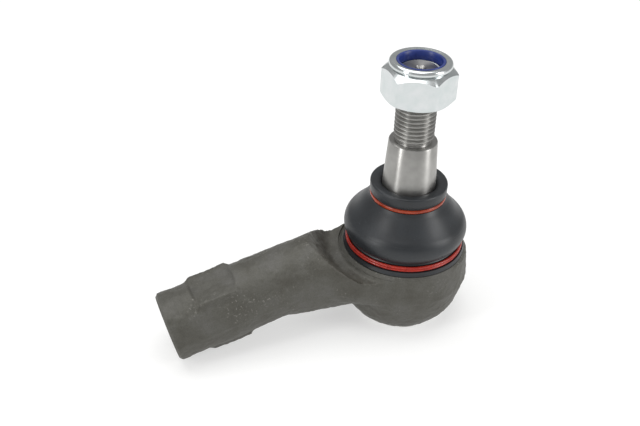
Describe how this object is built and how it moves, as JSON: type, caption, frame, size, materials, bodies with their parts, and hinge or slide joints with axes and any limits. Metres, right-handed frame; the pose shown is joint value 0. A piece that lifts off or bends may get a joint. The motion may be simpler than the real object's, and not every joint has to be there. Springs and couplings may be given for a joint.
{
  "type": "tie rod end",
  "caption": "Tie rod end: a ball stud with taper and lock nut swings in a forged socket under a rubber boot, on an arm with an internal thread and wrench flats.",
  "frame": {"origin": "centre of the ball, the point that the stud swings about", "axes": "+Z along the stud towards its thread, -X towards the open end of the arm, Y across"},
  "size_m": [0.1156, 0.048, 0.1003],
  "materials": {
    "forged_steel": "satin",
    "ground_steel": "satin",
    "bearing_plastic": "satin",
    "spring_steel": "satin",
    "pressed_steel": "satin",
    "boot_rubber": "satin",
    "red_ring": "gloss",
    "orange_ring": "gloss",
    "zinc_plate": "gloss",
    "blue_nylon": "satin"
  },
  "bodies": {
    "housing": {"housing": "forged_steel", "upper_ball_seat": "bearing_plastic", "lower_ball_seat": "bearing_plastic", "preload_spring": "spring_steel", "closing_plate": "pressed_steel", "boot_base_ring": "red_ring"},
    "boot": {"dust_boot": "boot_rubber"},
    "boot_neck": {"boot_neck_ring": "orange_ring"},
    "stud": {"ball_stud": "ground_steel"},
    "nut_slider": {"nut_insert": "blue_nylon"},
    "nut": {"lock_nut": "zinc_plate"}
  },
  "joints": [
    {"name": "stud_swing", "type": "hinge", "parent": "housing", "child": "boot", "pos_m": [0, 0, 0], "axis": [0, 1, 0], "range_deg": [-18, 18], "deforming": ["dust_boot"]},
    {"name": "stud_sway", "type": "hinge", "parent": "boot", "child": "boot_neck", "pos_m": [0, 0, 0], "axis": [1, 0, 0], "range_deg": [-18, 18]},
    {"name": "stud_spin", "type": "hinge", "parent": "boot_neck", "child": "stud", "pos_m": [0, 0, 0], "axis": [0, 0, 1], "continuous": true},
    {"name": "nut_travel", "type": "slide", "parent": "stud", "child": "nut_slider", "axis": [0, 0, 1], "range_m": [-0.0151, 0.0061]},
    {"name": "nut_spin", "type": "hinge", "parent": "nut_slider", "child": "nut", "pos_m": [0, 0, 0.0678], "axis": [0, 0, 1], "range_deg": [-3600, 1440]}
  ],
  "couplings": [
    {"joint": "nut_travel", "follows": "nut_spin", "m_per_rad": 0.00023873}
  ]
}
